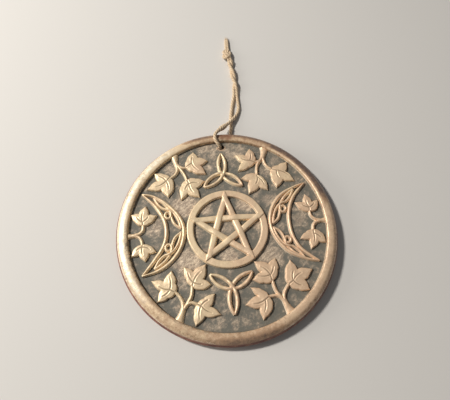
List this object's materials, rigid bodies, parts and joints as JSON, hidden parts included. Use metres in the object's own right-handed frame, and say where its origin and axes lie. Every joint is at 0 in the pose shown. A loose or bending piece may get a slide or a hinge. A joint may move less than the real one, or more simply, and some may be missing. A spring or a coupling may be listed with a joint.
{
  "type": "relief wall plaque",
  "caption": "Round relief wall plaque with a raised rim, a ringed interlaced star between crescents, knotwork and ivy, hung on a knotted jute twine.",
  "frame": {"origin": "middle of the flat back, on the surface that the plaque lies on", "axes": "+Z out of the front face, +Y towards the hanging hole, +X to the right"},
  "size_m": [0.2, 0.3293, 0.0162],
  "materials": {
    "bronze_relief": "worn light bronze paint on a cast relief, satin",
    "shadowed_field": "dark grey green wash with rubbed bronze patches, satin",
    "jute_twine": "natural jute fibre, matt"
  },
  "bodies": {
    "plaque": {"plaque_slab": "shadowed_field", "rim_bead": "bronze_relief", "pentacle_ring": "bronze_relief", "pentagram": "bronze_relief", "moon_left": "bronze_relief", "moon_right": "bronze_relief", "triquetra_top": "bronze_relief", "triquetra_bottom": "bronze_relief", "ivy_upper_left": "bronze_relief", "ivy_upper_right": "bronze_relief", "ivy_left": "bronze_relief", "ivy_right": "bronze_relief", "ivy_lower_left": "bronze_relief", "ivy_lower_right": "bronze_relief"},
    "twine": {"twine_front_strand": "jute_twine", "twine_back_strand": "jute_twine", "twine_knot": "jute_twine", "twine_tail_front": "jute_twine", "twine_tail_back": "jute_twine"}
  },
  "joints": [
    {"name": "twine_swing", "type": "hinge", "parent": "plaque", "child": "twine", "pos_m": [0.0006, 0.084, 0.009], "axis": [0, 0, 1], "range_deg": [-15, 15]}
  ]
}
